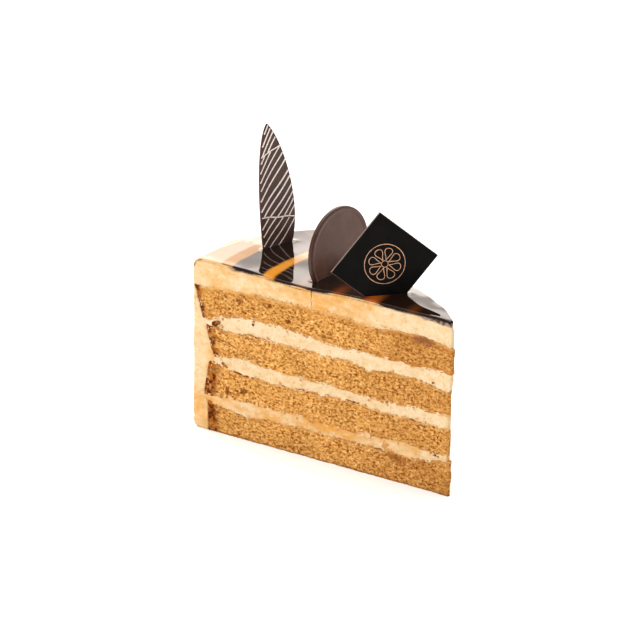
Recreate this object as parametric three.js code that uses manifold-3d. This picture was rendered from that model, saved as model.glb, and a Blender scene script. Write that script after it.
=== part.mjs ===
// A slice of mocha layer cake: four coffee sponges with cream between them, a thicker cream on top
// that runs down the round side, a thin marbled mirror glaze, and three chocolate decorations that
// stand in the top: a leaf, a round disc and a square plaque set on its corner.
// Millimetres, +Z up. The origin is under the middle of the slice, on the surface it stands on.
// The cake's centre, the slice's tip, points along +X, and the round side along -X.
import * as THREE from 'three';
import { mergeVertices } from 'three/addons/utils/BufferGeometryUtils.js';
import Module from 'manifold-3d';

const wasm = await Module();
wasm.setup();

// ---- Driving dimensions ----
const CAKE_RADIUS = 120;
const HALF_ANGLE = THREE.MathUtils.degToRad(16.5); // half of the slice's angle
const CAKE_HEIGHT = 71.5; // to the top of the glaze, at the cut faces
const GLAZE_THICKNESS = 1.5;
const TIP_GAP = 1.2; // the knife leaves the tip blunt at this distance from the cake's centre
const TIP_SPREAD = 0.6; // and wider by this on each side
const RIM_BULGE = 1.6; // the round side swells by this between the cuts
const SHOULDER_RADIUS = 4; // round edge between the top and the round side
const FOOT_HEIGHT = 5; // the side's cream draws in below this height
const FOOT_DEPTH = 4; // and by this much at the foot
const LIP_HEIGHT = 2; // the top rises by this at the rim, nearer the shown cut face
const FAR_DROP = 3; // and sinks by this at the rim of the far cut face
const CRUMB_RELIEF = 0.3; // depth of the crags in the cut crumb
const FIT_GAP = 0.3; // between pieces that touch


// Heights of the seams between sponge and cream, read along the shown cut face. A bump is
// [distance from the tip, half width, rise].
const SEAMS = {
  sponge1Top: { level: 11.4, phase: 0.4, bumps: [[118, 8, 1.4], [94, 9, -1.8], [3, 6, 2.6]] },
  sponge2Bottom: { level: 16, phase: 1.7, bumps: [[116, 8, -1.4], [22, 12, 1.2]] },
  sponge2Top: { level: 27.3, phase: 2.9, bumps: [[108, 5, 1.9], [85, 14, -0.6], [46, 8, 0.8]] },
  sponge3Bottom: { level: 32.3, phase: 4.1, bumps: [[114, 5, -1.8], [97, 9, 1.4], [35, 6, -1.3]] },
  sponge3Top: { level: 44.1, phase: 5.2, bumps: [[101, 6, -0.8], [37, 5, -1.4], [4, 10, -1.4]] },
  sponge4Bottom: { level: 49.6, phase: 0.9, bumps: [[116, 7, -4.2], [84, 14, 1.9], [45, 12, -0.8]] },
  sponge4Top: { level: 61.5, phase: 2.2, bumps: [[112, 14, -1.6], [120, 5, -1.6], [38, 7, -1.5], [0, 5, -2]] },
};
const RIM_ZONE = 105; // bumps further out than this, or nearer the tip than TIP_ZONE, keep their place
const TIP_ZONE = 10;

// The layers from the bottom up. tip is how near the cake's centre a layer reaches, and ends is how
// far out it reaches, at its bottom and at its top: the sponges' own sides slope.
const LAYERS = [
  { name: 'sponge_1', bottom: null, top: 'sponge1Top', tip: 0.5, ends: [112.8, 113.4] },
  { name: 'filling_1', bottom: 'sponge1Top', top: 'sponge2Bottom', tip: 1.5, ends: [113.4, 114] },
  { name: 'sponge_2', bottom: 'sponge2Bottom', top: 'sponge2Top', tip: 1.4, ends: [114, 111] },
  { name: 'filling_2', bottom: 'sponge2Top', top: 'sponge3Bottom', tip: 1.2, ends: [111, 110] },
  { name: 'sponge_3', bottom: 'sponge3Bottom', top: 'sponge3Top', tip: 1, ends: [110, 113] },
  { name: 'filling_3', bottom: 'sponge3Top', top: 'sponge4Bottom', tip: 1, ends: [113, 114] },
  { name: 'sponge_4', bottom: 'sponge4Bottom', top: 'sponge4Top', tip: 0.6, ends: [114, 118] },
];

// Decorations. yaw turns a plate's plane about the vertical, lean tips it backwards, and turn turns
// it in its own plane.
const TIP_X = (CAKE_RADIUS + RIM_BULGE + LAYERS[0].tip * Math.cos(HALF_ANGLE)) / 2; // cake's centre
const LEAF = {
  x: TIP_X - 104.4, y: -7.9, z: CAKE_HEIGHT, yaw: 99.8, height: 51.1, depth: 6.5, thickness: 1,
};
const DISC = {
  x: TIP_X - 68, y: 0.1, z: 79.7, yaw: 101.4, lean: -1.7, radius: 17, thickness: 1.8, edge: 0.4,
};
const PLAQUE = {
  x: TIP_X - 36.4, y: -3.4, z: 84.3, yaw: 62.7, lean: -0.6, turn: 39.2, side: 29.4, thickness: 1,
};

// ---- Surfaces, as functions of s, the distance from the cake's centre, and t, which runs from -1
// at the shown cut face to 1 at the far one ----
const { lerp, smoothstep, degToRad } = THREE.MathUtils;

function seamHeight(name, s, t) {
  const { level, phase, bumps } = SEAMS[name];
  const away = (t + 1) / 2;
  const wander = 9 * Math.sin(1.3 * (t + 1)) * Math.cos(phase);
  const rise = bumps.reduce((sum, [at, width, height]) => {
    const free = at > TIP_ZONE && at < RIM_ZONE;
    const distance = (s - at - (free ? wander : 0)) / width;
    return sum + height * Math.exp(-distance * distance);
  }, 0);
  return level + rise + 0.45 * away * Math.sin(0.16 * s + 2.2 * t + phase);
}

function topHeight(s, t) {
  const away = (t + 1) / 2;
  const lip = LIP_HEIGHT * smoothstep(s, 104, 115) * Math.exp(-(((away - 0.36) / 0.25) ** 2));
  const drop = FAR_DROP * (s / CAKE_RADIUS) * away * away;
  return CAKE_HEIGHT + lip - drop;
}

// Radius of the round side at a height: drawn in at the foot, and rounded off at the shoulder.
function sideRadius(height, top, t) {
  const foot = Math.max(0, 1 - height / FOOT_HEIGHT);
  const shoulder = Math.max(0, (height - (top - SHOULDER_RADIUS)) / SHOULDER_RADIUS);
  const round = SHOULDER_RADIUS * (1 - Math.sqrt(Math.max(0, 1 - shoulder * shoulder)));
  return CAKE_RADIUS + RIM_BULGE * (1 - t * t) - FOOT_DEPTH * foot ** 2.2 - round;
}

// Low crags in the crumb of a cut face, always inwards.
function crag(s, z) {
  const wave = Math.sin(1.9 * s + 0.8 * z) * Math.sin(0.7 * s - 2.3 * z) + Math.sin(3.1 * z + 0.5 * s);
  return CRUMB_RELIEF * (0.5 + 0.25 * wave);
}

// ---- Solids ----
function manifoldOf(geometry) {
  const bare = new THREE.BufferGeometry().setIndex(geometry.index);
  bare.setAttribute('position', geometry.getAttribute('position'));
  const merged = mergeVertices(bare, 1e-4);
  return new wasm.Manifold(new wasm.Mesh({
    numProp: 3,
    vertProperties: new Float32Array(merged.getAttribute('position').array),
    triVerts: new Uint32Array(merged.index.array),
  }));
}

function geometryOf(solid) {
  const mesh = solid.getMesh();
  const geometry = new THREE.BufferGeometry();
  geometry.setAttribute('position', new THREE.BufferAttribute(new Float32Array(mesh.vertProperties), 3));
  geometry.setIndex(new THREE.BufferAttribute(new Uint32Array(mesh.triVerts), 1));
  geometry.computeVertexNormals();
  return geometry;
}

const ALONG = 30;
const ACROSS = 6;

// A block bent into the slice's plan. place(u, t, w) takes each point of the block, u from the tip
// to the rim, t from the shown cut face to the far one and w upwards, to { s, z, inset }. A block
// with spill reaches one cell past both cut faces, and keeps the same cells between them.
function sliceBlock(upCells, place, spill = 0) {
  const geometry = new THREE.BoxGeometry(1, 1, 1, ALONG, ACROSS + 2 * spill, upCells);
  const points = geometry.getAttribute('position');
  for (let i = 0; i < points.count; i++) {
    const u = 0.5 - points.getX(i);
    const t = 2 * points.getY(i) * (1 + (2 * spill) / ACROSS);
    const { s, z, inset = 0 } = place(u, t, points.getZ(i) + 0.5);
    const angle = t * HALF_ANGLE;
    const x = TIP_X - s * Math.cos(angle) - inset * Math.sin(HALF_ANGLE);
    const spread = t * TIP_SPREAD * Math.exp(-s / 5);
    points.setXYZ(i, x, s * Math.sin(angle) + spread - inset * Math.sign(t) * Math.cos(HALF_ANGLE), z);
  }
  return manifoldOf(geometry);
}

// One sponge or filling.
function layerSolid({ name, bottom, top, tip, ends }) {
  const crumb = name.startsWith('sponge');
  return sliceBlock(crumb ? 3 : 1, (u, t, w) => {
    const s = u < 0.001 ? tip : lerp(TIP_GAP, lerp(ends[0], ends[1], w), u);
    const low = bottom ? seamHeight(bottom, s, t) + FIT_GAP / 2 : 0;
    const z = lerp(low, seamHeight(top, s, t) - FIT_GAP / 2, w);
    const onCutFace = Math.abs(t) > 0.999 && u > 0.01 && u < 0.99;
    return { s, z, inset: crumb && onCutFace ? crag(s, z) : 0 };
  });
}

const OPEN_TIP = 0.2; // blocks that cut others start here, ahead of every layer's tip

// The room that a layer needs in the outer cream: larger by FIT_GAP, and open at the cut faces.
function layerRoom({ bottom, top, ends }) {
  return sliceBlock(1, (u, t, w) => {
    const inner = lerp(TIP_GAP, lerp(ends[0], ends[1], w), u) + (u > 0.999 ? FIT_GAP : 0);
    const s = u < 0.001 ? OPEN_TIP : inner;
    const low = bottom ? seamHeight(bottom, s, t) - 2 * FIT_GAP : -5;
    return { s, z: lerp(low, seamHeight(top, s, t) + FIT_GAP / 2, w) };
  }, 1);
}

// The whole slice's outer form, cream and glaze together.
function envelopeSolid() {
  return sliceBlock(16, (u, t, w) => {
    const rows = (1 - Math.cos(Math.PI * w)) / 2; // rows crowd at the foot and the shoulder
    const rimTop = topHeight(CAKE_RADIUS - SHOULDER_RADIUS, t);
    const s = lerp(TIP_GAP, sideRadius(rows * rimTop, rimTop, t), u);
    return { s, z: rows * topHeight(s, t) };
  });
}

// Everything above the glaze's underside, lowered by `lower`.
function capSolid(lower) {
  return sliceBlock(1, (u, t, w) => {
    const s = lerp(OPEN_TIP, CAKE_RADIUS + 5, u);
    return { s, z: w > 0.5 ? CAKE_HEIGHT + 15 : topHeight(s, t) - GLAZE_THICKNESS - lower };
  }, 1);
}

// ---- Decorations: each is a plate in its own x-z plane, its front facing -y ----
function leafOutline(margin) {
  const { height, depth } = LEAF;
  const foot = -depth - margin;
  const left = 1.3 - margin;
  const right = 13.7 + margin;
  return new THREE.Shape()
    .moveTo(left, foot)
    .bezierCurveTo(-1.9 - margin, 6.9, -5.4 - margin, 43.4, 1.6, height + margin)
    .bezierCurveTo(11 + margin, 42.6, 25.8 + margin, 7.4, right, foot)
    .quadraticCurveTo(7, foot - 1, left, foot);
}

function leafGeometry(margin = 0) {
  const thickness = LEAF.thickness + 2 * margin;
  const geometry = new THREE.ExtrudeGeometry(leafOutline(margin), {
    depth: thickness, bevelEnabled: false, curveSegments: 14,
  });
  return geometry.rotateX(Math.PI / 2).translate(0, thickness / 2, 0);
}

function discGeometry(margin = 0) {
  const { radius, thickness, edge } = DISC;
  const half = thickness / 2 + margin;
  const outer = radius + margin;
  const profile = [[0, -half], [outer - edge, -half], [outer, edge - half], [outer, half - edge],
    [outer - edge, half], [0, half]].map(([r, y]) => new THREE.Vector2(r, y));
  return new THREE.LatheGeometry(profile, 56);
}

function plaqueGeometry(margin = 0) {
  const { side, thickness } = PLAQUE;
  return new THREE.BoxGeometry(side + 2 * margin, thickness + 2 * margin, side + 2 * margin);
}

function placeMesh(mesh, { x, y, z, yaw, lean = 0, turn = 0 }) {
  mesh.position.set(x, y, z);
  mesh.rotation.set(degToRad(lean), degToRad(turn), degToRad(yaw), 'ZXY');
  mesh.updateMatrixWorld();
  return mesh;
}

const DECORATIONS = [
  { name: 'leaf', make: leafGeometry, place: LEAF },
  { name: 'disc', make: discGeometry, place: DISC },
  { name: 'plaque', make: plaqueGeometry, place: PLAQUE },
];

// The slots that the decorations stand in.
const slots = DECORATIONS.map(({ make, place }) => {
  const mesh = placeMesh(new THREE.Mesh(make(FIT_GAP)), place);
  const geometry = mesh.geometry.index ? mesh.geometry.toNonIndexed() : mesh.geometry;
  const world = mergeVertices(new THREE.BufferGeometry()
    .setAttribute('position', geometry.getAttribute('position'))
    .applyMatrix4(mesh.matrixWorld), 1e-3);
  return manifoldOf(world);
});

// ---- Assembly ----
const MATERIALS = {
  sponge: new THREE.MeshStandardMaterial({ color: '#d2965a', roughness: 0.95 }),
  cream: new THREE.MeshStandardMaterial({ color: '#f6d9ac', roughness: 0.7 }),
  glaze: new THREE.MeshStandardMaterial({ color: '#1c0d08', roughness: 0.05 }),
  chocolate: new THREE.MeshStandardMaterial({ color: '#5a4038', roughness: 0.45 }),
  plaque: new THREE.MeshStandardMaterial({ color: '#15120f', roughness: 0.5 }),
};

const slice = new THREE.Group();

function addPiece(name, geometry, material, place = null) {
  const mesh = new THREE.Mesh(geometry, material);
  mesh.name = name;
  slice.add(place ? placeMesh(mesh, place) : mesh);
}

for (const layer of LAYERS) {
  const material = layer.name.startsWith('sponge') ? MATERIALS.sponge : MATERIALS.cream;
  addPiece(layer.name, geometryOf(layerSolid(layer)), material);
}

const envelope = envelopeSolid();
const cutAway = (solid, tools) => tools.reduce((rest, tool) => rest.subtract(tool), solid);
const frosting = cutAway(envelope.subtract(capSolid(FIT_GAP)), [...LAYERS.map(layerRoom), ...slots]);
const glaze = cutAway(envelope.intersect(capSolid(0)), slots);
addPiece('frosting', geometryOf(frosting), MATERIALS.cream);
addPiece('glaze', geometryOf(glaze), MATERIALS.glaze);

for (const { name, make, place } of DECORATIONS) {
  addPiece(name, make(), name === 'plaque' ? MATERIALS.plaque : MATERIALS.chocolate, place);
}

export default slice;
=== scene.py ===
"""A slice of mocha layer cake: crumb, cream, mirror glaze and chocolate decorations on the frame."""

import functools
import math
from types import SimpleNamespace

import bmesh
import bpy
import numpy as np
from mathutils import Matrix, Vector
from mathutils.bvhtree import BVHTree

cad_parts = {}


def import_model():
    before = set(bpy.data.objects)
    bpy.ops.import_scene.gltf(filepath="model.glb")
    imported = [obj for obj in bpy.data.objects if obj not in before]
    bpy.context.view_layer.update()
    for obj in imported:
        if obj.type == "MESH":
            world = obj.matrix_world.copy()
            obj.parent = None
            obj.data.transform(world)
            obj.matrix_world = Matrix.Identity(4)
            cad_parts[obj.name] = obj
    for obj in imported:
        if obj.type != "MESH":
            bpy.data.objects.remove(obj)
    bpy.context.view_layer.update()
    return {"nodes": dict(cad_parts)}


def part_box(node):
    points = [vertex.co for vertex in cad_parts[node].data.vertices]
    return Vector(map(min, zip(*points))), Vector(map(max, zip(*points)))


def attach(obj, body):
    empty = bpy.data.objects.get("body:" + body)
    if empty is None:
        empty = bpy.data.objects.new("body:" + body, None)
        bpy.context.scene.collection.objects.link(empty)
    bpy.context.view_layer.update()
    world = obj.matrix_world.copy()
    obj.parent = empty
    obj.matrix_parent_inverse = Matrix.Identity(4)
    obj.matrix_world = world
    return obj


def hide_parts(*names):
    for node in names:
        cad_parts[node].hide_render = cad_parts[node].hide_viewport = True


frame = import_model()

MM = 0.001

# ---- The slice's plan: s runs from the cake's centre outwards, and t from -1 at the cut face that
# the camera sees to 1 at the far one ----
CAKE_RADIUS = 120 * MM
HALF_ANGLE = math.radians(16.5)
CAKE_TOP = 71.5 * MM
RIM_BULGE = 1.6 * MM
SHOULDER_RADIUS = 4 * MM
TIP_SPREAD = 0.6 * MM
TIP_FADE = 5 * MM
GLAZE_THICKNESS = 1.5 * MM
BULGE = 2.0 * MM
TIP_PUSH = 0.9 * MM
FIT_GAP = 0.3 * MM
CENTRE_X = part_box("frosting")[0].x + CAKE_RADIUS + RIM_BULGE
NEAR_FACE = np.array([math.sin(HALF_ANGLE), -math.cos(HALF_ANGLE), 0])
FAR_FACE = np.array([math.sin(HALF_ANGLE), math.cos(HALF_ANGLE), 0])
TIP_FACE = np.array([1.0, 0, 0])

SPONGES = ["sponge_1", "sponge_2", "sponge_3", "sponge_4"]
FILLINGS = ["filling_1", "filling_2", "filling_3"]

# ---- The decorations' places, as in the frame ----
LEAF = {"at": (CENTRE_X - 104.4 * MM, -7.9 * MM, CAKE_TOP), "yaw": 99.8, "thickness": 1 * MM}
DISC = {
    "at": (CENTRE_X - 68 * MM, 0.1 * MM, 79.7 * MM), "yaw": 101.4, "lean": -1.7, "thickness": 1.8 * MM,
}
PLAQUE = {
    "at": (CENTRE_X - 36.4 * MM, -3.4 * MM, 84.3 * MM), "yaw": 62.7, "lean": -0.6, "turn": 39.2,
    "side": 29.4 * MM, "thickness": 1 * MM,
}


def to_xyz(s, t, z):
    """Points of the slice, in the row frame, from its plan."""
    angle = t * HALF_ANGLE
    spread = t * TIP_SPREAD * np.exp(-s / TIP_FADE)
    return columns(CENTRE_X - s * np.cos(angle), s * np.sin(angle) + spread, z)


def plan_of(points):
    """s and t of points in the row frame."""
    x, y = CENTRE_X - points[:, 0], points[:, 1]
    return np.hypot(x, y), np.arctan2(y, x) / HALF_ANGLE


def far_bulge(s, t, z):
    """How far the top of the slice swells out over its far cut, towards the tip."""
    reach = BULGE * smoothstep(t, 0, 1) * after(s, 0, 14) * before(s, 30, 64) * after(z, 52, 66)
    return FAR_FACE * reach[:, None]


def tip_push(s, z):
    """How far the upper layers stand out at the blunt tip."""
    reach = TIP_PUSH * after(z, 42, 47) * before(z, 66, 70) * before(s, 1, 6)
    return TIP_FACE * reach[:, None]


def smoothstep(x, low, high):
    share = np.clip((x - low) / (high - low), 0, 1)
    return share * share * (3 - 2 * share)


def after(x, low, high):
    """0 up to low millimetres and 1 from high on, with a smooth rise between them."""
    return smoothstep(x, low * MM, high * MM)


def before(x, low, high):
    """1 up to low millimetres and 0 from high on."""
    return 1 - after(x, low, high)


def columns(*values):
    return np.stack(values, axis=-1)


def hump(x, width):
    """1 at zero, and falling off to both sides over the width."""
    return np.exp(-((x / width) ** 2))


def most(*values):
    return functools.reduce(np.maximum, values)


def lerp(a, b, share):
    return a + (b - a) * share


# ---- Seeded noise on numpy arrays of points, with its sizes in millimetres ----
def hashed(cells, seed):
    """A random number from 0 to 1 for each whole-number cell."""
    h = cells.astype(np.int64) @ np.array([374761393, 668265263, 2147483029]) + seed * 1274126177
    h = (h ^ (h >> 13)) * 1103515245 & 0x7FFFFFFF
    h = (h ^ (h >> 16)) * 69069 & 0x7FFFFFFF
    return ((h ^ (h >> 11)) & 0xFFFFF) / 0xFFFFF


def noise(points, size, seed, stretch=(1, 1, 1)):
    """Smooth noise from -1 to 1, with features about size wide."""
    grid = points * np.array(stretch) / (size * MM)
    base = np.floor(grid)
    share = grid - base
    share = share * share * (3 - 2 * share)
    total = 0
    for corner in np.ndindex(2, 2, 2):
        weight = np.prod(np.where(np.array(corner) == 1, share, 1 - share), axis=-1)
        total = total + weight * hashed(base + np.array(corner), seed)
    return 2 * total - 1


def pores(points, size, share, radii, seed):
    """Depth of round bubbles that the surface cuts open: one in some of the cells of that size."""
    cell = size * MM
    base = np.floor(points / cell)
    depth = np.zeros(len(points))
    for step in np.ndindex(3, 3, 3):
        cells = base + np.array(step) - 1
        centre = columns(*(hashed(cells, seed + k) for k in range(3)))
        radius = MM * lerp(*radii, hashed(cells, seed + 3))
        distance = np.linalg.norm(points - (cells + centre) * cell, axis=-1)
        inside = 1 - (distance / radius) ** 2
        open_here = (inside > 0) & (hashed(cells, seed + 4) < share)
        depth = np.maximum(depth, np.where(open_here, radius * np.sqrt(np.maximum(inside, 0)), 0))
    return depth


# ---- Meshes ----
def box_grid(nu, nt, nw):
    """The skin of a block of nu by nt by nw cells: its points as shares of the block, and its quads."""
    shape = (nu + 1, nt + 1, nw + 1)
    skin = np.ones(shape, bool)
    skin[1:-1, 1:-1, 1:-1] = False
    ids = np.full(shape, -1)
    ids[skin] = np.arange(skin.sum())
    quads = []
    for axis in range(3):
        for end in (0, -1):
            side = np.take(ids, end, axis=axis)
            a, b, c, d = side[:-1, :-1], side[1:, :-1], side[1:, 1:], side[:-1, 1:]
            flip = (axis == 1) == (end == 0)
            ring = (d, c, b, a) if flip else (a, b, c, d)
            quads.append(columns(*(r.ravel() for r in ring)))
    return np.argwhere(skin) / np.array([nu, nt, nw]), np.concatenate(quads)


def new_object(name, data):
    thing = bpy.data.objects.new(name, data)
    bpy.context.scene.collection.objects.link(thing)
    return thing


def add_piece(name, mesh, material, smooth=True):
    mesh.materials.append(material)
    mesh.polygons.foreach_set("use_smooth", [smooth] * len(mesh.polygons))
    return new_object(name, mesh)


def from_bmesh(name, bm, material, smooth=True):
    mesh = bpy.data.meshes.new(name)
    bm.to_mesh(mesh)
    bm.free()
    return add_piece(name, mesh, material, smooth)


def make_mesh(name, points, faces, material, smooth=True):
    """A closed piece from points and faces, with every face turned outwards."""
    mesh = bpy.data.meshes.new(name)
    mesh.from_pydata([tuple(p) for p in points], [], [tuple(f) for f in faces])
    bm = bmesh.new()
    bm.from_mesh(mesh)
    bmesh.ops.recalc_face_normals(bm, faces=bm.faces)
    bm.to_mesh(mesh)
    bm.free()
    return add_piece(name, mesh, material, smooth)


def store(piece, **values):
    """Keep numbers at a piece's points for its material, which reads 0 where there are none."""
    for name, numbers in values.items():
        attribute = piece.data.attributes.new(name, "FLOAT", "POINT")
        attribute.data.foreach_set("value", np.asarray(numbers, np.float32))


def finish_piece(piece, slot, *nodes):
    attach(piece, "root")
    if nodes:
        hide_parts(*nodes)


# ---- The layers as the frame's solids give them ----
S_KNOTS = np.linspace(2 * MM, CAKE_RADIUS + RIM_BULGE, 80)
T_KNOTS = np.linspace(-1, 1, 11)
SAFE_EDGE = 0.7 * MM  # rays stay this far inside the cuts
SAFE_END = 1.2 * MM
SMOOTHINGS = 3


class Layer:
    """A solid's heights over the slice's plan, and how far in and out it reaches."""

    def __init__(self, node):
        mesh = frame["nodes"][node].data
        corners = [v.co for v in mesh.vertices]
        self.tree = BVHTree.FromPolygons(corners, [p.vertices for p in mesh.polygons])
        self.tip = CENTRE_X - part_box(node)[1].x
        self.reach = min(self.ends_from(90 * MM)) - SAFE_END
        near, far = self.ends_from(self.reach)
        self.end_low, self.end_high = lerp(near, far, -0.5), lerp(near, far, 1.5)
        self.bottoms, self.tops = self.heights(False), self.heights(True)

    def ends_from(self, s):
        """How far out it reaches, a quarter and three quarters of the way up from its foot at s."""
        low, high = (self.height(s, 0, above) for above in (False, True))
        return [self.end(lerp(low, high, share)) for share in (0.25, 0.75)]

    def height(self, s, t, from_above):
        half_width = s * math.sin(HALF_ANGLE) + TIP_SPREAD
        limit = max(0, 1 - SAFE_EDGE / half_width)
        x, y, _ = to_xyz(s, np.clip(t, -limit, limit), 0)
        start, way = (0.2, -1) if from_above else (-0.1, 1)
        hit = self.tree.ray_cast((x, y, start), (0, 0, way))[0]
        return hit.z if hit else math.nan

    def end(self, z):
        hit = self.tree.ray_cast((CENTRE_X - 0.2, 0, z), (1, 0, 0))[0]
        return CENTRE_X - hit.x if hit else CAKE_RADIUS

    def heights(self, from_above):
        known = S_KNOTS[(S_KNOTS > self.tip + SAFE_END) & (S_KNOTS < self.reach)]
        grid = np.zeros((len(S_KNOTS), len(T_KNOTS)))
        for j, t in enumerate(T_KNOTS):
            column = np.array([self.height(s, t, from_above) for s in known])
            good = ~np.isnan(column)
            grid[:, j] = np.interp(S_KNOTS, known[good], column[good])
        for _ in range(SMOOTHINGS):
            grid[1:-1] = (grid[:-2] + 2 * grid[1:-1] + grid[2:]) / 4
        return grid


def look_up(heights, s, t):
    """The height at each s and t."""
    i = np.clip((s - S_KNOTS[0]) / (S_KNOTS[1] - S_KNOTS[0]), 0, len(S_KNOTS) - 1.001)
    j = np.clip((t - T_KNOTS[0]) / (T_KNOTS[1] - T_KNOTS[0]), 0, len(T_KNOTS) - 1.001)
    row, column = np.floor(i).astype(int), np.floor(j).astype(int)
    near = lerp(heights[row, column], heights[row, column + 1], j - column)
    far = lerp(heights[row + 1, column], heights[row + 1, column + 1], j - column)
    return lerp(near, far, i - row)


# ---- Shader helpers ----
class Shader:
    """A node tree: each call adds a node, and its inputs are values or other nodes' outputs."""

    def __init__(self, owner):
        owner.use_nodes = True
        self.owner = owner
        self.tree = owner.node_tree
        coordinates = self.add("ShaderNodeTexCoord").outputs
        self.place, self.way = coordinates["Object"], coordinates["Generated"]

    def add(self, kind, inputs=None, **settings):
        node = self.tree.nodes.new(kind)
        for key, value in settings.items():
            setattr(node, key, value)
        for key, value in (inputs or {}).items():
            self.feed(node.inputs[key], value)
        return node

    def feed(self, socket, value):
        if isinstance(value, bpy.types.NodeSocket):
            self.tree.links.new(value, socket)
        else:
            socket.default_value = value

    def surface(self, **inputs):
        """The finished material, with these inputs to its surface."""
        for key, value in inputs.items():
            self.feed(self.tree.nodes["Principled BSDF"].inputs[key.replace("_", " ")], value)
        return self.owner

    def noise(self, size, detail=2.0, roughness=0.5, stretch=(1, 1, 1)):
        """Noise with features about size millimetres wide."""
        scaled = self.add("ShaderNodeMapping", {"Vector": self.place, "Scale": stretch}).outputs[0]
        inputs = {"Vector": scaled, "Scale": 1 / (size * MM), "Detail": detail, "Roughness": roughness}
        return self.add("ShaderNodeTexNoise", inputs).outputs["Fac"]

    def wander(self, size, reach, **look):
        """Noise about zero, as wide as reach in all."""
        return self.times(self.math("SUBTRACT", self.noise(size, **look), 0.5), reach)

    def specks(self, size, radius):
        """1 in the middle of scattered spots, one to each size millimetres, and 0 past their radius."""
        inputs = {"Vector": self.place, "Scale": 1 / (size * MM), "Randomness": 1.0}
        distance = self.add("ShaderNodeTexVoronoi", inputs).outputs["Distance"]
        return self.remap(distance, 0, radius, 1, 0)

    def attribute(self, name):
        return self.add("ShaderNodeAttribute", attribute_name=name).outputs["Fac"]

    def covered(self, base, **colours):
        """The base with each colour laid over it as far as the attribute of its name says."""
        for name, colour in colours.items():
            base = self.mix(self.attribute(name), base, colour)
        return base

    def math(self, operation, *values):
        node = self.add("ShaderNodeMath", dict(enumerate(values)), operation=operation)
        return node.outputs[0]

    def times(self, a, b):
        return self.math("MULTIPLY", a, b)

    def millimetres(self):
        """x, y and z of the place."""
        return [self.times(c, 1 / MM) for c in self.add("ShaderNodeSeparateXYZ", {0: self.place}).outputs]

    def remap(self, value, low, high, to_low=0.0, to_high=1.0, kind="LINEAR"):
        inputs = {"Value": value, "From Min": low, "From Max": high, "To Min": to_low, "To Max": to_high}
        return self.add("ShaderNodeMapRange", inputs, interpolation_type=kind).outputs["Result"]

    def mix(self, share, a, b, blend="MIX"):
        settings = {"data_type": "RGBA", "blend_type": blend}
        return self.add("ShaderNodeMix", {0: share, 6: a, 7: b}, **settings).outputs[2]

    def ramp(self, value, stops):
        node = self.add("ShaderNodeValToRGB", {"Fac": value})
        ramp = node.color_ramp
        for place, colour in stops[len(ramp.elements):]:
            ramp.elements.new(place)
        for element, (place, colour) in zip(ramp.elements, stops):
            element.position = place
            element.color = colour
        return node.outputs["Color"]

    def bump(self, height, distance):
        inputs = {"Height": height, "Distance": distance, "Strength": 1.0}
        return self.add("ShaderNodeBump", inputs).outputs["Normal"]


def new_material(name):
    return Shader(bpy.data.materials.new(name))


def rgb(red, green, blue):
    """A colour written as on a screen, from 0 to 255, as the shader's linear one."""
    channels = [c / 255 for c in (red, green, blue)]
    return (*[c / 12.92 if c <= 0.04045 else ((c + 0.055) / 1.055) ** 2.4 for c in channels], 1.0)


# ---- Materials ----
CRUMB_RAMP = [
    (0.31, rgb(88, 44, 10)), (0.42, rgb(156, 97, 38)), (0.49, rgb(199, 145, 77)),
    (0.60, rgb(213, 165, 97)), (0.71, rgb(238, 203, 149)),
]
CALM_CRUMB = rgb(200, 147, 79)
DARK_PATCH, LIGHT_PATCH = (0.9, 0.88, 0.82, 1), (1.06, 1.06, 1.06, 1)
TIP_SHADE = (0.78, 0.70, 0.64, 1)
# Scattered specks: their spacing in millimetres, their radius in spacings, their strength and colour.
CRUMB_SPECKS = [(1.6, 0.26, 0.7, rgb(94, 48, 12)), (2.1, 0.22, 0.6, rgb(238, 204, 150))]


def sponge_material():
    m = new_material("sponge")
    base = m.ramp(m.noise(0.85, detail=3, roughness=0.66, stretch=(0.68, 0.68, 1)), CRUMB_RAMP)
    base = m.mix(m.remap(m.noise(5), 0.42, 0.62, 0, 0.35), base, CALM_CRUMB)
    patches = m.mix(m.remap(m.noise(13), 0.35, 0.65), DARK_PATCH, LIGHT_PATCH)
    base = m.mix(1.0, base, patches, "MULTIPLY")
    for size, radius, share, colour in CRUMB_SPECKS:
        base = m.mix(m.times(m.specks(size, radius), share), base, colour)
    # Painted shade: pore darkens the crumb the deeper its bubble.
    base = m.covered(base, pore=rgb(114, 54, 8), soak=rgb(174, 112, 46), creamy=rgb(212, 172, 112))
    # The crust share also holds painted contact shade along the lowest sponge's foot.
    crust = m.mix(m.remap(m.noise(1.7), 0.42, 0.58), rgb(82, 32, 8), rgb(156, 90, 34))
    shaded = m.mix(1.0, base, TIP_SHADE, "MULTIPLY")
    base = m.covered(base, tone=shaded, crust=crust, stain=rgb(116, 66, 46))
    normal = m.bump(m.noise(0.45, detail=3), 0.14 * MM)
    return m.surface(Base_Color=base, Roughness=0.95, Specular_IOR_Level=0.03, Normal=normal)


CREAM_RAMP = [
    (0.34, rgb(203, 158, 96)), (0.46, rgb(208, 172, 118)), (0.56, rgb(211, 182, 136)),
    (0.70, rgb(213, 193, 160)),
]
CRACK = {"s": 64.4, "low": 61.8, "high": 69.2, "half_width": 0.11}  # millimetres, on the near cut


def crack_shade_line(m):
    """1 on a hair crack down the top cream, just below the disc, which is painted dark as its shade."""
    x, y, z = m.millimetres()
    line_x = CENTRE_X / MM - CRACK["s"] * math.cos(HALF_ANGLE)
    wavy_x = m.math("ADD", x, m.wander(2.5, 1.6, detail=1))
    off_line = m.math("ABSOLUTE", m.math("SUBTRACT", wavy_x, line_x))
    narrow = m.remap(off_line, CRACK["half_width"], 2 * CRACK["half_width"], 1, 0)
    below = m.remap(z, CRACK["high"] - 0.2, CRACK["high"], 1, 0)
    above = m.remap(z, CRACK["low"], CRACK["low"] + 2)
    near = m.remap(y, -10, -9, 1, 0)
    return m.times(m.times(narrow, below), m.times(above, near))


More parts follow.
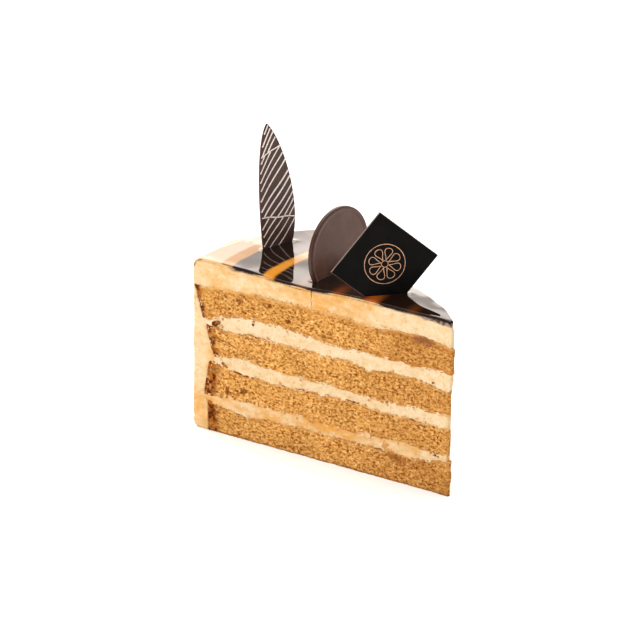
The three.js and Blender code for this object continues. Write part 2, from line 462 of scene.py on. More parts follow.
def cream_material():
    m = new_material("cream")
    base = m.ramp(m.noise(6, detail=4, roughness=0.6, stretch=(1, 1, 1.7)), CREAM_RAMP)
    base = m.covered(base, tint=rgb(206, 140, 40), pale=rgb(212, 192, 158))
    mottle = m.noise(2.6, detail=4, roughness=0.62, stretch=(0.75, 0.75, 1.1))
    base = m.mix(m.remap(mottle, 0.54, 0.70, 0, 0.5), base, rgb(194, 142, 74))
    base = m.mix(m.remap(mottle, 0.33, 0.47, 0.5, 0), base, rgb(222, 204, 170))
    fine = m.noise(1.1, detail=3, roughness=0.6)
    base = m.mix(m.remap(fine, 0.56, 0.70, 0, 0.45), base, rgb(190, 138, 78))
    crumbs = m.math("ADD", m.noise(1, detail=3), m.times(m.attribute("seam"), 0.26))
    base = m.mix(m.remap(crumbs, 0.66, 0.84, 0, 0.8), base, rgb(184, 122, 56))
    smear = m.mix(m.remap(m.noise(1.6), 0.42, 0.58), rgb(64, 46, 38), rgb(146, 126, 118))
    base = m.covered(base, smear=smear)
    # Painted shade: darker the deeper the cream's holes, and along the hair crack.
    dark = m.math("MAXIMUM", m.attribute("dark"), m.times(crack_shade_line(m), 0.75))
    base = m.mix(dark, base, rgb(84, 28, 2))
    return m.surface(
        Base_Color=base, Roughness=0.7, Specular_IOR_Level=0.15,
        Normal=m.bump(m.noise(0.9, detail=3), 0.16 * MM),
        Subsurface_Weight=0.12, Subsurface_Radius=(1.0, 0.6, 0.35), Subsurface_Scale=0.8 * MM,
    )


DEEP_GLAZE, DEEP_CUT = rgb(26, 15, 9), rgb(28, 11, 4)
PALE_GLAZE, PALE_CUT = rgb(170, 154, 131), rgb(214, 176, 122)
# The swept bands of the glaze, from the tip outwards: where each starts and ends, in millimetres
# along the near cut, how soft its edges are, and its colour.
GLAZE_BANDS = [
    (16.5, 20.5, 1.6, rgb(70, 36, 14)),
    (34, 39.5, 1.7, rgb(158, 78, 24)),
    (50, 54.5, 1.8, rgb(98, 46, 16)),
    (66.5, 71.5, 1.6, rgb(84, 50, 24)),
    (82, 86.8, 0.7, rgb(188, 122, 32)),
    (101.3, 106.6, 0.5, rgb(150, 104, 38)),
]
BAND_SLOPE, BAND_BEND, BAND_STRAIGHT = 0.44, 0.004, 50


def band_place(m):
    """How far in from the near cut a place of the glaze is, and where its band starts along that cut."""
    x, y, _ = m.millimetres()
    centre, edge = CENTRE_X / MM, math.tan(HALF_ANGLE)
    # Each band starts at the near cut and sweeps outwards in a shallow arc.
    start = m.math("MULTIPLY_ADD", y, BAND_SLOPE, m.math("ADD", x, BAND_SLOPE * edge * centre))
    start = m.math("DIVIDE", start, 1 + BAND_SLOPE * edge)
    inwards = m.math("ADD", y, m.times(m.math("SUBTRACT", centre, start), edge))
    bending = m.math("MINIMUM", inwards, BAND_STRAIGHT)
    arc = m.times(m.times(bending, bending), BAND_BEND)
    foot = m.math("SUBTRACT", m.math("MULTIPLY_ADD", bending, BAND_SLOPE, x), arc)
    along = m.math("DIVIDE", m.math("SUBTRACT", centre, foot), math.cos(HALF_ANGLE))
    # The outermost band turns off over the rim.
    outermost = m.remap(along, 90, 100, kind="SMOOTHSTEP")
    along = m.math("SUBTRACT", along, m.times(m.remap(inwards, 27, 60, 0, 20), outermost))
    feather = m.wander(1.8, 0.9, stretch=(1, 0.35, 1))
    return inwards, m.math("ADD", along, m.math("ADD", m.wander(14, 1.6, detail=1), feather))


def glaze_material(name, roughness, gloss, pale, deep):
    m = new_material(name)
    inwards, along = band_place(m)
    stops = [(0.0, deep)]
    for low, high, soft, colour in GLAZE_BANDS:
        stops += [(low - soft, deep), (low + soft, colour), (high - soft, colour), (high + soft, deep)]
    stops[-1] = (stops[-1][0], pale)
    length = CAKE_RADIUS / MM
    base = m.ramp(m.math("DIVIDE", along, length), [(place / length, colour) for place, colour in stops])
    fading = m.times(m.remap(inwards, 1.5, 9, 0, 0.85), m.remap(along, 60, 64, 1, 0))
    base = m.mix(fading, base, deep)
    return m.surface(Base_Color=base, Roughness=roughness, IOR=1.5, Specular_IOR_Level=gloss)


def chocolate_material(name, light, dark, roughness, gloss):
    m = new_material(name)
    cloud = m.noise(7, detail=3)
    base = m.mix(m.remap(cloud, 0.35, 0.65), dark, light)
    # The edge share darkens towards rgb(44, 27, 22): painted shade on the disc's rim side.
    return m.surface(
        Base_Color=m.covered(base, edge=rgb(44, 27, 22)), Specular_IOR_Level=gloss,
        Normal=m.bump(m.noise(0.5), 0.02 * MM),
        Roughness=m.remap(cloud, 0.3, 0.7, roughness - 0.05, roughness + 0.05),
    )


def line_material(name, light, dark, roughness=0.5, metal=0.0):
    m = new_material(name)
    base = m.mix(m.remap(m.noise(1.5), 0.35, 0.65), dark, light)
    return m.surface(Base_Color=base, Roughness=roughness, Metallic=metal)


# ---- Layers ----
OVERLAP = 0.45 * MM  # sponge and cream reach this far past their seam, so that they mix there
INTO_COAT = 0.6 * MM
SEAM_SEEDS = {"filling_1": (11, 111), "filling_2": (12, 112), "filling_3": (13, 113)}
TOP_SEAM_SEED = 99
# The waves of a seam: their reach and size in millimetres, and what they add to the seed.
SEAM_WAVES = [(0.30, 6, 0), (0.28, 2.2, 50), (0.26, 1.1, 90)]


def seam_wander(points, seed):
    """Small rises and falls of a seam, the same for both layers that meet there."""
    flat = (1, 1, 0)
    return MM * sum(reach * noise(points, size, seed + more, flat) for reach, size, more in SEAM_WAVES)


def outward(u, t):
    """Direction out of the near cut, the far cut or the blunt tip, and zero elsewhere."""
    way = np.zeros((len(u), 3))
    way[t < -0.999] += NEAR_FACE
    way[t > 0.999] += FAR_FACE
    way[u < 0.001] += TIP_FACE
    length = np.linalg.norm(way, axis=-1, keepdims=True)
    return way / np.maximum(length, 1)


def slab(layer, bottoms, tops, cells, seam_below, seam_above):
    """A layer's skin: its points and faces, and where in the slab each point is."""
    shares, quads = box_grid(*cells)
    u, t, w = shares[:, 0], 2 * shares[:, 1] - 1, shares[:, 2]
    end = lerp(layer.end_low, layer.end_high, w) + INTO_COAT
    s = lerp(layer.tip, end, u)
    flat = to_xyz(s, t, np.zeros_like(s))
    top = look_up(tops, s, t) + OVERLAP
    bottom = look_up(bottoms, s, t)
    if seam_above:
        top += seam_wander(flat, seam_above)
    if seam_below:
        bottom += seam_wander(flat, seam_below) - OVERLAP
    points = to_xyz(s, t, lerp(bottom, top, w))
    below = points[:, 2] - bottom if seam_below else np.full(len(u), CAKE_TOP)
    above = top - points[:, 2] if seam_above else np.full(len(u), CAKE_TOP)
    return points, quads, SimpleNamespace(u=u, t=t, s=s, to_end=end - s, below=below, above=above)


def tip_calm(s):
    """Less relief where the slice is too thin for it."""
    return lerp(0.3, 1, after(s, 1, 8))


def off_path(s, z, path):
    """Distance on a cut from a line through points given in millimetres."""
    spots = columns(s, z)
    corners = np.array(path) * MM
    nearest = np.full(len(s), 1.0)
    for a, b in zip(corners[:-1], corners[1:]):
        share = np.clip((spots - a) @ (b - a) / np.dot(b - a, b - a), 0, 1)
        nearest = np.minimum(nearest, np.linalg.norm(spots - a - share[:, None] * (b - a), axis=-1))
    return nearest


DRAGGED = [(31.5, 16.5), (28.5, 12.8), (26, 10), (21.5, 8.8)]  # s and z in millimetres


def dragged(s, t, z, ragged):
    """1 on the streak of crumb that the knife has dragged across the lowest filling."""
    width = MM * lerp(1.4, 2.4, before(z, 9, 16))
    return before(off_path(s, z, DRAGGED) + ragged - width, -0.9, 0) * (t < 0)


# ---- Sponges ----
SPONGE_CELLS = (460, 4, 46)
CRUMB_STANDS_BACK = 0.12 * MM
BEHIND_COAT = 0.55 * MM  # what lies past the coat's inner side keeps this far back
GRAIN = np.array([0.66, 0.66, 1.1])  # the crumb's bubbles are wider than high
# The crumb's small bubbles, in millimetres: their spacing, how many of the places have one, their
# radii, and how much of their depth shows.
PORES = [(0.85, 0.85, (0.2, 0.4), 0.8), (2, 0.4, (0.3, 0.62), 0.7), (8, 0.3, (0.7, 1.1), 0.7)]
# Large bubbles of the near cut: the sponge, then s, z and radius in millimetres.
BUBBLES = [
    (3, 104.4, 57.9, 0.6), (3, 98.4, 57.2, 0.9), (3, 84.0, 58.1, 1.0), (3, 75.1, 54.0, 0.7),
    (3, 58.3, 51.6, 0.6), (2, 94.8, 42.5, 0.6), (2, 24.6, 36.2, 0.6), (2, 14.7, 40.9, 0.6),
    (1, 103.8, 18.2, 1.1), (1, 96.2, 20.0, 1.2),
]
# Fine tears of the near cut: the sponge, then points at s and z in millimetres.
TEARS = [
    (0, [(111, 13.9), (106.2, 12.9), (101.4, 11.6), (97.6, 11.2), (91.8, 12.2), (87.1, 13.2)]),
    (2, [(110.6, 39.7), (107.2, 39.2), (103.9, 38.7), (101.0, 37.7), (99.6, 37.2)]),
]
TEAR_WIDTH, TEAR_DEPTH = 0.32 * MM, 0.7 * MM
# For each sponge from the bottom: how deep in millimetres its outer end is baked brown, how brown its
# top is, how far down it is soaked, how creamy its top seam is, and how shaded it is towards the tip.
END_CRUST = [6.5, 8, 4, 3]
TOP_CRUST = [0.6, 0.95, 0.4, 0.0]
SOAKED = [1.1, 1.1, 1.1, 2.6]
CREAMY = [0.35, 0.35, 0.35, 0.55]
TIP_TONE = [0.8, 0.4, 0.55, 0.8]
STAINED, STAIN_AT, STAIN_LENGTH = 3, (13 * MM, 60.5 * MM), 2.2  # s and z, on the near cut
TOE_AT, TOE_HEIGHT, TOE_REACH = 8 * MM, 3.5 * MM, 0.7 * MM  # the lowest tip's swelling


def bubble(s, z, radius, spot_s, spot_z):
    """Depth of a lumpy bubble in a cut."""
    lumpy = 1 + 0.7 * noise(columns(s, z, 0 * s), 0.7, 95)
    off = np.hypot((s - spot_s) / 1.2, z - spot_z) / radius * lumpy
    return radius * np.sqrt(np.maximum(1 - off * off, 0))


def placed_bubbles(index, s, t, z):
    """The depth of the near cut's large bubbles and tears."""
    depth = np.zeros(len(s))
    for sponge, spot_s, spot_z, radius in BUBBLES:
        if sponge == index:
            depth = np.maximum(depth, bubble(s, z, radius * MM, spot_s * MM, spot_z * MM))
    for sponge, path in TEARS:
        if sponge == index:
            gap = smoothstep(TEAR_WIDTH - off_path(s, z, path), 0, TEAR_WIDTH)
            depth = np.maximum(depth, TEAR_DEPTH * gap)
    return depth * (t < -0.999)


def uneven_tip(index, s, points, seed):
    """How far a sponge stands out at the blunt tip."""
    reach = 0.4 * MM * noise(points, 5, seed)
    if index == 0:
        reach += TOE_REACH * hump(points[:, 2] - TOE_AT, TOE_HEIGHT)
    return reach * before(s, 1, 6)


def sponge_colours(index, points, at, seed):
    """The shares of crust, soaked crumb, cream and stain at a sponge's points; the crust share also holds
    painted contact shade along the lowest sponge's foot.
    """
    s, t, z, above, to_end = at.s, at.t, points[:, 2], at.above, at.to_end
    ragged = 0.7 * MM * noise(points, 2, seed + 60)
    deep = END_CRUST[index] * MM
    crust = smoothstep(deep + INTO_COAT - to_end + 2 * ragged, 0, 0.6 * deep)
    crust *= np.clip(1.0 + 0.8 * noise(points, 1.6, seed + 65), 0.15, 1)
    skin = before(above - OVERLAP - 0.3 * ragged, 0.2, 0.5)
    skin *= TOP_CRUST[index] * smoothstep(noise(points, 4, seed + 66) + s / CAKE_RADIUS, 0.4, 0.8)
    # A darker band along the lowest sponge's foot: partly bottom crust, partly painted contact shade.
    foot = 0.6 * before(z - 0.6 * ragged, 0.3, 0.9) * (index == 0)
    drag = 0.5 * dragged(s, t, z, ragged)
    to_seam = np.minimum(above, np.minimum(above, at.below) + 0.4 * MM)
    soak = 0.6 * before(to_seam - ragged, SOAKED[index] - 1.2, SOAKED[index])
    creamy = CREAMY[index] * before(above - OVERLAP - 0.8 * ragged, -0.1, 0.9)
    off_stain = np.hypot((s - STAIN_AT[0]) / STAIN_LENGTH, z - STAIN_AT[1]) + ragged
    return {
        "crust": most(crust, skin, foot, drag),
        "soak": soak * np.clip(0.8 + 0.4 * noise(points, 3, seed + 70), 0, 1),
        "tone": TIP_TONE[index] * before(s, 18, 52),
        "creamy": creamy * (1 - np.minimum(crust, 1)),
        "stain": 0.7 * before(off_stain, 1, 3) * (t < 0) * (index == STAINED),
    }


def sponge_piece(index, layer, material):
    below = SEAM_SEEDS[FILLINGS[index - 1]][1] if index > 0 else None
    above = SEAM_SEEDS[FILLINGS[index]][0] if index < len(FILLINGS) else TOP_SEAM_SEED
    points, quads, at = slab(layer, layer.bottoms, layer.tops, SPONGE_CELLS, below, above)
    s = at.s
    seed = 1000 * (index + 1)
    grained = points * GRAIN
    depth = 0
    for k, (size, share, radii, shown) in enumerate(PORES):
        depth = depth + shown * pores(grained, size, share, radii, seed + 10 * k)
    depth = np.maximum(depth, placed_bubbles(index, s, at.t, points[:, 2]))
    grain = noise(grained, 0.8, seed + 40)
    swell = MM * (0.18 * noise(points, 5, seed + 30) + 0.2 * grain)
    shift = (CRUMB_STANDS_BACK + depth - swell) * tip_calm(s) - uneven_tip(index, s, points, seed + 80)
    shift += BEHIND_COAT * before(at.to_end - INTO_COAT, -0.3, 0)
    points = points - outward(at.u, at.t) * shift[:, None] + tip_push(s, points[:, 2])
    points[:, 2] = np.maximum(points[:, 2], 0)
    piece = make_mesh(f"crumb_{index + 1}", points, quads, material)
    # pore is painted shade, darker the deeper the bubble.
    store(piece, pore=np.clip(depth / (0.6 * MM) - 0.2 * grain, 0, 1) * 0.72)
    store(piece, **sponge_colours(index, points, at, seed))
    finish_piece(piece, "sponge", SPONGES[index])


# ---- Fillings ----
FILLING_CELLS = (400, 4, 18)
# For each filling from the bottom: how amber, how pale and how crumby it is.
FILLING_TINT = [0.5, 0.02, 0.0]
FILLING_PALE = [0.3, 0.6, 0.85]
CRUMBY = [0.12, 0.2, 0.0]
# How patchy each filling's amber is, and how strong the amber streak along its upper part.
PATCHY = [0.45, 0.15, 0.15]
AMBER_STREAK = [1, 0, 0]


def filling_piece(index, layer, bottoms, tops, material):
    node = FILLINGS[index]
    points, quads, at = slab(layer, bottoms, tops, FILLING_CELLS, *SEAM_SEEDS[node])
    s, t = at.s, at.t
    seed = 5000 + 1000 * index
    stretch = (0.5, 0.5, 1.4)
    stretched = points * np.array(stretch)
    smear = MM * (0.26 * noise(points, 2.4, seed, stretch) + 0.16 * noise(points, 1, seed + 10))
    holes = pores(points, 7, 0.2, (0.3, 0.55), seed + 20)
    shift = (0.22 * MM + holes - smear) * tip_calm(s)
    points = points - outward(at.u, t) * shift[:, None] + tip_push(s, points[:, 2])
    piece = make_mesh(f"cream_{index + 1}", points, quads, material)
    patch = 0.5 * noise(points, 9, seed + 30) + 0.6 * noise(stretched, 2.6, seed + 31)
    amber = AMBER_STREAK[index] * after(s, 36, 50) * before(s, 60, 80)
    upper = after(at.below, 0.5, 4)
    tint = FILLING_TINT[index] * lerp(0.3, 1, after(s, 20, 45)) + PATCHY[index] * patch
    seam = before(np.minimum(at.above, at.below), 0.2, 1.6)
    crumby_tip = 0.4 * before(s, 2, 7)
    drag = 1.3 * dragged(s, t, points[:, 2], 1.2 * MM * noise(points, 1.2, seed + 35))
    # The dark share is painted shade, darker the deeper the cream's hole.
    store(
        piece, tint=np.clip(tint + 0.5 * amber * upper, 0, 0.8),
        pale=np.clip(FILLING_PALE[index] - 0.4 * patch - 0.2 * amber, 0, 1),
        seam=most(seam, crumby_tip, CRUMBY[index], drag),
        dark=np.clip(holes / (0.45 * MM), 0, 1) * 0.95,
    )
    finish_piece(piece, "cream", node)


# ---- Loose crumbs ----
CRUMBS = 260
CRUMB_SIZES = (0.22 * MM, 0.5 * MM)
CRUMB_STANDS_OUT = 0.05 * MM
CRUMB_STRAY = 1.3 * MM  # how far crumbs lie from their seam
CRUMB_LUMPS, LODGED_LUMPS = 0.13 * MM, 0.3 * MM
NEAR_CUT_SHARE = 0.65
# Dark crumbs lodged in the near cut's cream: s, z and radius in millimetres.
LODGED = [
    (109.6, 45.6, 1.0), (108.2, 46.3, 0.8), (110.4, 44.9, 0.6), (91.5, 49.0, 0.45), (105.8, 29.6, 0.55),
    (6.9, 15.4, 0.5), (5.6, 15.1, 0.35), (8.4, 44.5, 0.4),
]


def add_crumb(bm, s, t, z, radius, turn):
    spot = to_xyz(np.array([s]), np.array([t]), np.array([z]))[0]
    spot += (NEAR_FACE if t < 0 else FAR_FACE) * CRUMB_STANDS_OUT
    turned = Matrix.Rotation(2 * math.pi * turn, 4, "X") @ Matrix.Diagonal((1.3, 0.8, 1, 1))
    place = Matrix.Translation(spot) @ turned
    bmesh.ops.create_icosphere(bm, subdivisions=2, radius=radius, matrix=place)


def loose_crumbs(sponges, material):
    """Crumbs that the knife has left on both cuts, by the seams."""
    bm = bmesh.new()
    seams = [layer.tops for layer in sponges] + [layer.bottoms for layer in sponges[1:]]
    for k in range(CRUMBS):
        side, at_seam, along, stray, size, turn = hashed(np.stack([[k, j, 0] for j in range(6)]), 301)
        t = -1.0 if side < NEAR_CUT_SHARE else 1.0
        s = lerp(6 * MM, 108 * MM, along)
        heights = seams[min(int(at_seam * len(seams)), len(seams) - 1)]
        z = look_up(heights, np.array([s]), np.array([t]))[0] + CRUMB_STRAY * (2 * stray - 1)
        add_crumb(bm, s, t, z, lerp(*CRUMB_SIZES, size * size), turn)
    pale_count = len(bm.verts)
    for s, z, radius in LODGED:
        add_crumb(bm, s * MM, -1.0, z * MM, radius * MM, 0.1 * s)
    places = np.array([v.co for v in bm.verts])
    dark = np.arange(len(places)) >= pale_count
    uneven = columns(*(noise(places, 0.4, 302 + k) for k in range(3)))
    for vertex, offset in zip(bm.verts, np.where(dark, LODGED_LUMPS, CRUMB_LUMPS)[:, None] * uneven):
        vertex.co += Vector(offset)
    piece = from_bmesh("loose_crumbs", bm, material)
    store(piece, crust=0.95 * dark)
    finish_piece(piece, "sponge")


# How far each sponge's outer end comes through the coat at its foot and its top, past its end in
# the frame.
END_OUT = [(0, 0), (1.1 * MM, 1.7 * MM), (0.5 * MM, 1.0 * MM), (0, 1.3 * MM)]


def layer_pieces(sponge, cream):
    """The four sponges and the creams between them, which fill the room from sponge to sponge."""
    sponges = [Layer(node) for node in SPONGES]
    for index, layer in enumerate(sponges):
        layer.end_low += END_OUT[index][0]
        layer.end_high += END_OUT[index][1]
        sponge_piece(index, layer, sponge)
    for index, node in enumerate(FILLINGS):
        filling, below, above = Layer(node), sponges[index], sponges[index + 1]
        filling.end_low, filling.end_high = below.end_high, above.end_low
        filling_piece(index, filling, below.tops, above.bottoms, cream)
    loose_crumbs(sponges, sponge)
    return sponges


# The top sags towards the near cut beside the disc: where, how far along and inwards, and how much.
SAG_AT, SAG_LENGTH, SAG_WIDTH, SAG_DEPTH = 72 * MM, 17 * MM, 22 * MM, 1.15 * MM


def near_sag(s, t, from_cut):
    inwards = np.clip(1 - from_cut / SAG_WIDTH, 0, 1) ** 1.4
    return (t < 0) * SAG_DEPTH * hump(s - SAG_AT, SAG_LENGTH) * inwards


# ---- Outer cream ----
FROSTING_VOXEL = 0.5 * MM
BARE_BACK = 1.2 * MM  # the coat stands back this far where a sponge's end comes through
FOOT_OUT = 1.6 * MM  # the coat's foot is fuller than the frame's
# At the cut the cream comes up this far under the glaze's thinner edge, and hardly at all where the
# glaze is smeared down over it.
CREAM_RISE, SMEAR_RISE = 1.15 * MM, 0.45 * MM
SMEARS = [(-2, 33), (57, 67.5), (75, 84), (91, 101.5)]  # millimetres along the near cut


def smeared(s, t):
    """1 where the knife has dragged the glaze down over the cut."""
    spots = columns(s, 5 * t, np.zeros_like(s))
    ragged = 1.3 * MM * noise(spots, 3, 91)
    near = np.zeros_like(s)
    for low, high in SMEARS:
        inside = np.minimum(s - low * MM, high * MM - s) + ragged
        near = np.maximum(near, after(inside, -2.6, 2.2))
    return np.where(t < 0, near, smoothstep(noise(spots, 11, 92), 0.15, 0.4))


def remeshed(node, name):
    """The frame's own solid with a fine even skin."""
    piece = new_object(name, frame["nodes"][node].data.copy())
    remesh = piece.modifiers.new("skin", "REMESH")
    remesh.mode = "VOXEL"
    remesh.voxel_size = FROSTING_VOXEL
    smooth = piece.modifiers.new("soften", "SMOOTH")
    smooth.iterations = 2
    depsgraph = bpy.context.evaluated_depsgraph_get()
    mesh = bpy.data.meshes.new_from_object(piece.evaluated_get(depsgraph))
    bpy.data.objects.remove(piece)
    mesh.materials.clear()
    return mesh


def at_vertices(mesh, key):
    flat = np.empty(len(mesh.vertices) * 3)
    mesh.vertices.foreach_get(key, flat)
    return flat.reshape(-1, 3)


def laid_bare(layer, s, t, z):
    """1 where a sponge's end comes through the coat."""
    low, high = look_up(layer.bottoms, s, t), look_up(layer.tops, s, t)
    end = lerp(layer.end_low, layer.end_high, np.clip((z - low) / np.maximum(high - low, MM), 0, 1))
    across = after(np.minimum(z - low, high - z), -0.2, 0.2)
    return across * after(end - s, -0.2, 0.2) * after(s, 100, 104)


def coat_places(points, normals):
    """Where each point of the outer cream is, and how far it is part of a cut, the side and the top."""
    s, t = plan_of(points)
    from_cut = s * np.sin(np.maximum(0, 1 - np.abs(t)) * HALF_ANGLE)
    cut = before(from_cut, 0.2, 0.6) * smoothstep(np.abs(normals[:, 1]), 0.5, 0.9)
    side = after(s - CAKE_RADIUS, -4, -2) * (1 - cut)
    cover = look_up(Layer("glaze").tops, s, t) - GLAZE_THICKNESS
    top = after(points[:, 2] - cover, -1.6, -0.8) * smoothstep(normals[:, 2], 0.2, 0.7)
    return SimpleNamespace(s=s, t=t, from_cut=from_cut, cover=cover, cut=cut, side=side, top=top)


def marked(points, normals, at, sponges):
    """The cream's points with knife marks on the cuts and spreading marks on the side."""
    s, z, cut, side, top = at.s, points[:, 2], at.cut, at.side, at.top
    knife = 0.20 * noise(points, 2.6, 71, (0.35, 0.35, 1.6)) + 0.18 * noise(points, 1.2, 72) - 0.2
    spread = 0.35 * noise(points, 9, 73, (0.5, 0.5, 1.5))
    spread += 0.15 * noise(points, 2.5, 78, (0.3, 0.3, 1.5)) + 0.1
    spread *= MM * after(at.cover - z, 1, 6)
    spread += FOOT_OUT * before(z, 0, 6)
    inside = (1 - cut) * (1 - side) * (1 - top)
    shift = cut * MM * knife * tip_calm(s) + side * spread + inside * FIT_GAP
    for layer in sponges[1:]:
        shift -= BARE_BACK * cut * laid_bare(layer, s, at.t, z)
    return points + normals * shift[:, None]


def risen(points, at, wander):
    """The cream's points, up under the glaze's edge, with the top's sag, bulge and push."""
    s, from_cut = at.s, at.from_cut
    rise = lerp(CREAM_RISE, SMEAR_RISE, smeared(s, at.t)) + 0.2 * MM * wander
    rise *= hump(from_cut, 2 * MM) * after(CAKE_RADIUS - s, 2, 6) * after(s, 0, 2)
    sag = after(points[:, 2] - at.cover, -5, 0) * near_sag(s, at.t, from_cut)
    points[:, 2] += at.top * rise - sag
    points += far_bulge(s, at.t, points[:, 2]) + tip_push(s, points[:, 2])
    points[:, 2] = np.maximum(points[:, 2], 0)
    return points


def cream_colours(points, at, wander, top_sponge):
    """The shares of amber, pale, smeared and crumby cream at the outer cream's points."""
    s, z, cut = at.s, points[:, 2], at.cut
    near_tip = before(s, 24, 42)
    patch = 0.7 * noise(points, 9, 74) + 0.5 * noise(points, 3, 77, (0.6, 0.6, 1))
    coat = after(s, 112, 116)
    low = before(z, 10, 24)
    middle = hump(s - 53 * MM, 14 * MM)
    tint = lerp(0.22 + 0.3 * patch + 0.35 * middle, 0.12 * patch - 0.05, near_tip)
    tint = lerp(tint, 0.02 + 0.15 * patch + 0.32 * low, coat)
    pale = lerp(0.15 + 0.5 * near_tip, 0.6 * (1 - low), coat) - 0.2 * patch
    below_glaze = at.cover + GLAZE_THICKNESS - z
    under_edge = before(below_glaze - MM * wander, 1.8, 2.5)
    smear = 0.95 * before(at.from_cut, 1.4, 2.4) * under_edge * smeared(s, at.t)
    above_sponge = np.abs(z - look_up(top_sponge.tops, s, at.t)) + 0.5 * MM * wander
    near_sponge = cut * before(above_sponge, 0.4, 1.8)
    crumby_tip = 0.4 * cut * before(s, 3, 7) * before(z, 65, 68)
    return {
        "tint": np.clip(tint, 0, 0.9), "pale": np.clip(pale, 0, 1), "smear": smear,
        "seam": np.maximum(near_sponge, crumby_tip),
    }


def frosting_piece(material, sponges):
    """The outer cream, on the cuts under the glaze and all over the round side."""
    mesh = remeshed("frosting", "outer_cream")
    points, normals = at_vertices(mesh, "co"), at_vertices(mesh, "normal")
    at = coat_places(points, normals)
    points = marked(points, normals, at, sponges)
    wander = noise(points, 4.5, 75, (1, 1, 0))
    points = risen(points, at, wander)
    mesh.vertices.foreach_set("co", points.ravel())
    piece = add_piece("outer_cream", mesh, material)
    store(piece, **cream_colours(points, at, wander, sponges[-1]))
    finish_piece(piece, "cream", "frosting")


# ---- Glaze ----
GLAZE_CELLS = (270, 120, 5)
CUT_ROUND = 0.4 * MM
CUT_DROP = 0.25 * MM
CUT_SAG = 0.14 * MM
CUT_STEEPNESS = 0.6  # faces that look up less than this belong to the cut
DOME = 0.8 * MM
TIP_DROP = 0.45 * MM
FOOT_BACK = 2.4 * MM  # the glaze's cut edge runs in under the cream this far
MENISCUS, MENISCUS_WIDTH = 0.35 * MM, 0.7 * MM
GLAZE_RIM = 0.15 * MM
DRIP = 0.25 * MM
BUBBLE_AT = (CENTRE_X - 116.3 * MM, -6.7 * MM)
# A burst bubble's ring and pit: how far from its middle, how wide and how high.
BUBBLE_RINGS = [(1.3 * MM, 0.4 * MM, 0.12 * MM), (0, 0.7 * MM, -0.30 * MM)]
# Standing plates, and where along its own line each plate's foot starts and ends.
PLATE_FEET = [(LEAF, -0.4 * MM, 17.8 * MM), (DISC, -15 * MM, 15 * MM), (PLAQUE, -8 * MM, 8.5 * MM)]


def near_plate(points, place, low, high):
    """Distance in plan from a standing plate, whose foot runs from low to high along its line."""
    yaw = math.radians(place["yaw"])
    offset = points[:, :2] - np.array(place["at"][:2])
    along = offset @ np.array([math.cos(yaw), math.sin(yaw)])
    past = np.maximum(np.maximum(low - along, along - high), 0)
    sideways = np.abs(offset @ np.array([-math.sin(yaw), math.cos(yaw)]))
    return np.hypot(past, np.maximum(sideways - place["thickness"] / 2, 0))


def even_height(heights, s, t):
    """The height averaged along s, so that no knot shows in the mirror."""
    weights = {-2: 1 / 16, -1: 4 / 16, 0: 6 / 16, 1: 4 / 16, 2: 1 / 16}
    return sum(weight * look_up(heights, s + step * MM, t) for step, weight in weights.items())


def glaze_level(layer, s, t, flat, edge, from_cut):
    """The height of the mirror, down over the round shoulder, before its cut edges are rounded."""
    level = even_height(layer.tops, np.minimum(s, edge - SHOULDER_RADIUS - 0.5 * MM), t)
    level += 0.22 * MM * noise(flat, 24, 85) * after(s, 0, 20) - near_sag(s, t, from_cut)
    level += DOME * smoothstep(t, -0.9, 1) * after(s, 0, 14) * before(s, 26, 60)
    level -= TIP_DROP * before(s, 0, 3)
    past = np.clip((s - (edge - SHOULDER_RADIUS)) / SHOULDER_RADIUS, 0, 1)
    return level - SHOULDER_RADIUS * (1 - np.sqrt(1 - past * past))


def glaze_top(level, flat, from_cut):
    """The mirror with rounded cut edges, raised round the plates' feet, and with a burst bubble."""
    rounded = np.clip(1 - from_cut / CUT_ROUND, 0, 1)
    sag = CUT_SAG * (1 + noise(flat, 6, 86)) * np.exp(-from_cut / (2 * MM))
    top = level - CUT_DROP * (1 - np.sqrt(1 - rounded * rounded)) - sag
    for place, low, high in PLATE_FEET:
        top += MENISCUS * np.exp(-near_plate(flat, place, low, high) / MENISCUS_WIDTH)
    off_bubble = np.hypot(flat[:, 0] - BUBBLE_AT[0], flat[:, 1] - BUBBLE_AT[1])
    for radius, width, height in BUBBLE_RINGS:
        top += height * hump(off_bubble - radius, width)
    return top


def glaze_piece(material, cut_material):
    layer = Layer("glaze")
    shares, quads = box_grid(*GLAZE_CELLS)
    u, w = shares[:, 0], shares[:, 2]
    t = np.sin((shares[:, 1] - 0.5) * math.pi)
    edge = CAKE_RADIUS + RIM_BULGE * (1 - t * t)
    s = lerp(layer.tip, edge - GLAZE_RIM, u)
    flat = to_xyz(s, t, np.zeros_like(s))
    from_cut = s * np.sin((1 - np.abs(t)) * HALF_ANGLE)
    level = glaze_level(layer, s, t, flat, edge, from_cut)
    top = glaze_top(level, flat, from_cut)
    drip = DRIP * np.maximum(0, noise(flat, 5, 81) + 0.1)
    bottom = np.minimum(level - GLAZE_THICKNESS - drip, top - 0.15 * MM)
    points = to_xyz(s, t, lerp(bottom, top, w))
    back = np.minimum(FOOT_BACK, 0.8 * (s * math.sin(HALF_ANGLE) + TIP_SPREAD))
    upright = lerp(0.7, 0.22, smeared(s, t))
    points -= outward(u, t) * (back * smoothstep((upright - w) / (upright - 0.1), 0, 1))[:, None]
    points += far_bulge(s, t, points[:, 2])
    piece = make_mesh("mirror_glaze", points, quads, material)
    piece.data.materials.append(cut_material)
    for face in piece.data.polygons:
        face.material_index = int(face.normal.z < CUT_STEEPNESS)
    finish_piece(piece, "glaze", "glaze")


# ---- Decorations: built in their own plane, x to the right, z up and the front towards -y ----
def placed(piece, place):
    yaw, lean, turn = (math.radians(place.get(key, 0)) for key in ("yaw", "lean", "turn"))
    turned = Matrix.Rotation(yaw, 4, "Z") @ Matrix.Rotation(lean, 4, "X") @ Matrix.Rotation(turn, 4, "Y")
    piece.data.transform(Matrix.Translation(place["at"]) @ turned)
    return piece


